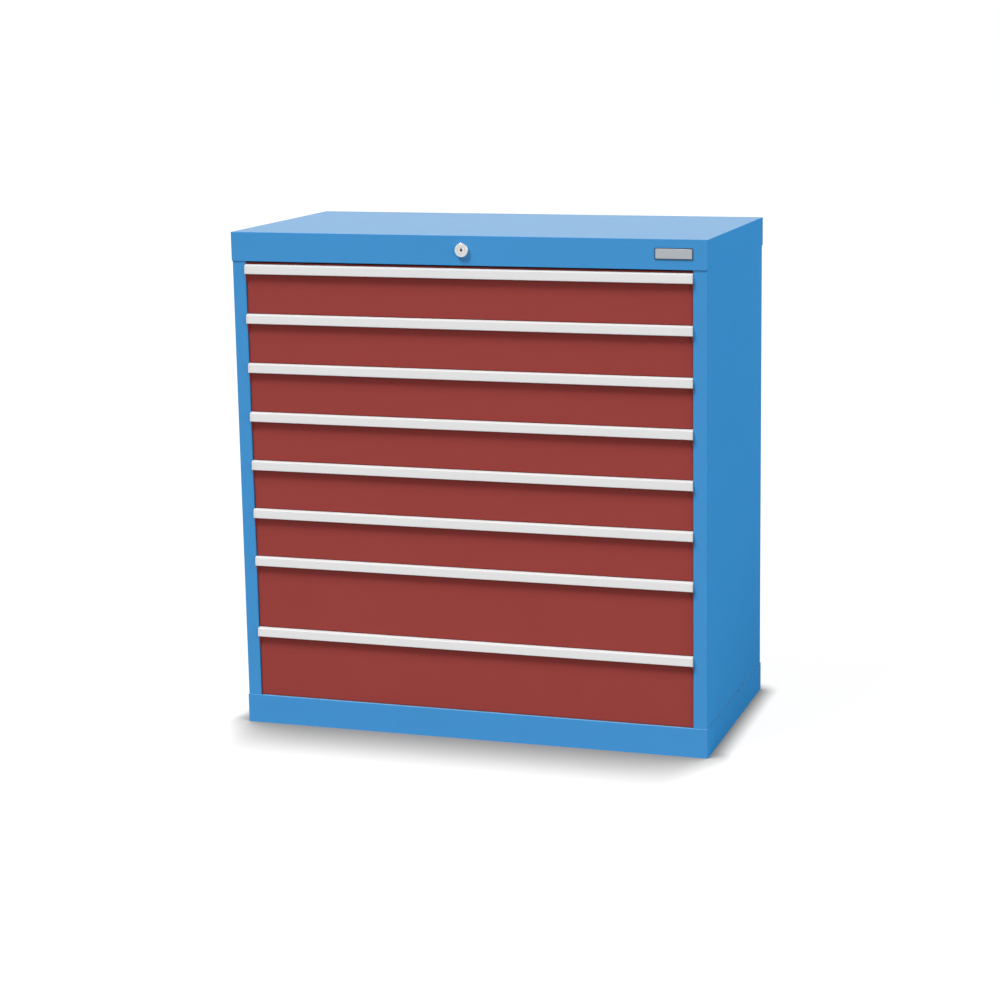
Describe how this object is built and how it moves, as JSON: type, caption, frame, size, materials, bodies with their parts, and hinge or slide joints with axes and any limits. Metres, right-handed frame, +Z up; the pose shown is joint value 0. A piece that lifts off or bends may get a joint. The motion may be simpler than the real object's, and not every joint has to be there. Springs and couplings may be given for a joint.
{
  "type": "industrial drawer cabinet",
  "caption": "Floor-standing sheet-steel tool cabinet with full-width drawers on full-extension roller rails, strip handles and a central lock.",
  "frame": {"origin": "on the floor, in the middle of the overall box, handles and lock included", "axes": "+Z up; +Y from the drawer fronts to the back; +X to the right of someone facing the drawers"},
  "size_m": [0.98, 0.506, 1.019],
  "materials": {
    "housing_paint": "satin blue powder coat",
    "front_paint": "satin red-brown powder coat",
    "tray_paint": "satin light-grey powder coat",
    "handle_aluminium": "matt light-grey lacquered extrusion",
    "end_cap_plastic": "matt light-grey moulded plastic",
    "zinc_plated_steel": "bright zinc plating",
    "lock_nickel": "satin nickel plating",
    "name_plate_metal": "bare light-grey face with a dark rim"
  },
  "bodies": {
    "root": {"top_cover": "housing_paint", "base_tray": "housing_paint", "left_side_wall": "housing_paint", "right_side_wall": "housing_paint", "back_panel": "housing_paint", "slotted_uprights": "zinc_plated_steel", "cabinet_rails": "zinc_plated_steel", "lock_housing": "lock_nickel", "name_plate": "name_plate_metal"},
    "drawer_1": {"drawer_tray_1": "tray_paint", "drawer_front_1": "front_paint", "handle_strip_1": "handle_aluminium", "handle_end_caps_1": "end_cap_plastic", "drawer_rails_1": "zinc_plated_steel"},
    "middle_1": {"middle_rails_1": "zinc_plated_steel"},
    "drawer_2": {"drawer_tray_2": "tray_paint", "drawer_front_2": "front_paint", "handle_strip_2": "handle_aluminium", "handle_end_caps_2": "end_cap_plastic", "drawer_rails_2": "zinc_plated_steel"},
    "middle_2": {"middle_rails_2": "zinc_plated_steel"},
    "drawer_3": {"drawer_tray_3": "tray_paint", "drawer_front_3": "front_paint", "handle_strip_3": "handle_aluminium", "handle_end_caps_3": "end_cap_plastic", "drawer_rails_3": "zinc_plated_steel"},
    "middle_3": {"middle_rails_3": "zinc_plated_steel"},
    "drawer_4": {"drawer_tray_4": "tray_paint", "drawer_front_4": "front_paint", "handle_strip_4": "handle_aluminium", "handle_end_caps_4": "end_cap_plastic", "drawer_rails_4": "zinc_plated_steel"},
    "middle_4": {"middle_rails_4": "zinc_plated_steel"},
    "drawer_5": {"drawer_tray_5": "tray_paint", "drawer_front_5": "front_paint", "handle_strip_5": "handle_aluminium", "handle_end_caps_5": "end_cap_plastic", "drawer_rails_5": "zinc_plated_steel"},
    "middle_5": {"middle_rails_5": "zinc_plated_steel"},
    "drawer_6": {"drawer_tray_6": "tray_paint", "drawer_front_6": "front_paint", "handle_strip_6": "handle_aluminium", "handle_end_caps_6": "end_cap_plastic", "drawer_rails_6": "zinc_plated_steel"},
    "middle_6": {"middle_rails_6": "zinc_plated_steel"},
    "drawer_7": {"drawer_tray_7": "tray_paint", "drawer_front_7": "front_paint", "handle_strip_7": "handle_aluminium", "handle_end_caps_7": "end_cap_plastic", "drawer_rails_7": "zinc_plated_steel"},
    "middle_7": {"middle_rails_7": "zinc_plated_steel"},
    "drawer_8": {"drawer_tray_8": "tray_paint", "drawer_front_8": "front_paint", "handle_strip_8": "handle_aluminium", "handle_end_caps_8": "end_cap_plastic", "drawer_rails_8": "zinc_plated_steel"},
    "middle_8": {"middle_rails_8": "zinc_plated_steel"},
    "lock": {"lock_plug": "lock_nickel", "lock_shaft": "zinc_plated_steel"},
    "bar": {"lock_bar": "zinc_plated_steel"}
  },
  "joints": [
    {"name": "drawer_1_slide", "type": "slide", "parent": "root", "child": "drawer_1", "axis": [0, -1, 0], "range_m": [0, 0.425]},
    {"name": "middle_1_slide", "type": "slide", "parent": "root", "child": "middle_1", "axis": [0, -1, 0], "range_m": [0, 0.2125]},
    {"name": "drawer_2_slide", "type": "slide", "parent": "root", "child": "drawer_2", "axis": [0, -1, 0], "range_m": [0, 0.425]},
    {"name": "middle_2_slide", "type": "slide", "parent": "root", "child": "middle_2", "axis": [0, -1, 0], "range_m": [0, 0.2125]},
    {"name": "drawer_3_slide", "type": "slide", "parent": "root", "child": "drawer_3", "axis": [0, -1, 0], "range_m": [0, 0.425]},
    {"name": "middle_3_slide", "type": "slide", "parent": "root", "child": "middle_3", "axis": [0, -1, 0], "range_m": [0, 0.2125]},
    {"name": "drawer_4_slide", "type": "slide", "parent": "root", "child": "drawer_4", "axis": [0, -1, 0], "range_m": [0, 0.425]},
    {"name": "middle_4_slide", "type": "slide", "parent": "root", "child": "middle_4", "axis": [0, -1, 0], "range_m": [0, 0.2125]},
    {"name": "drawer_5_slide", "type": "slide", "parent": "root", "child": "drawer_5", "axis": [0, -1, 0], "range_m": [0, 0.425]},
    {"name": "middle_5_slide", "type": "slide", "parent": "root", "child": "middle_5", "axis": [0, -1, 0], "range_m": [0, 0.2125]},
    {"name": "drawer_6_slide", "type": "slide", "parent": "root", "child": "drawer_6", "axis": [0, -1, 0], "range_m": [0, 0.425]},
    {"name": "middle_6_slide", "type": "slide", "parent": "root", "child": "middle_6", "axis": [0, -1, 0], "range_m": [0, 0.2125]},
    {"name": "drawer_7_slide", "type": "slide", "parent": "root", "child": "drawer_7", "axis": [0, -1, 0], "range_m": [0, 0.425]},
    {"name": "middle_7_slide", "type": "slide", "parent": "root", "child": "middle_7", "axis": [0, -1, 0], "range_m": [0, 0.2125]},
    {"name": "drawer_8_slide", "type": "slide", "parent": "root", "child": "drawer_8", "axis": [0, -1, 0], "range_m": [0, 0.425]},
    {"name": "middle_8_slide", "type": "slide", "parent": "root", "child": "middle_8", "axis": [0, -1, 0], "range_m": [0, 0.2125]},
    {"name": "lock_turn", "type": "hinge", "parent": "root", "child": "lock", "pos_m": [0, -0.247, 0.9912], "axis": [0, 1, 0], "range_deg": [0, 90]},
    {"name": "bar_lift", "type": "slide", "parent": "root", "child": "bar", "axis": [0, 0, 1], "range_m": [0, 0.0198]}
  ],
  "couplings": [
    {"joint": "middle_1_slide", "follows": "drawer_1_slide", "ratio": 0.5},
    {"joint": "middle_2_slide", "follows": "drawer_2_slide", "ratio": 0.5},
    {"joint": "middle_3_slide", "follows": "drawer_3_slide", "ratio": 0.5},
    {"joint": "middle_4_slide", "follows": "drawer_4_slide", "ratio": 0.5},
    {"joint": "middle_5_slide", "follows": "drawer_5_slide", "ratio": 0.5},
    {"joint": "middle_6_slide", "follows": "drawer_6_slide", "ratio": 0.5},
    {"joint": "middle_7_slide", "follows": "drawer_7_slide", "ratio": 0.5},
    {"joint": "middle_8_slide", "follows": "drawer_8_slide", "ratio": 0.5},
    {"joint": "lock_turn", "follows": "bar_lift", "rad_per_m": 79.333}
  ]
}
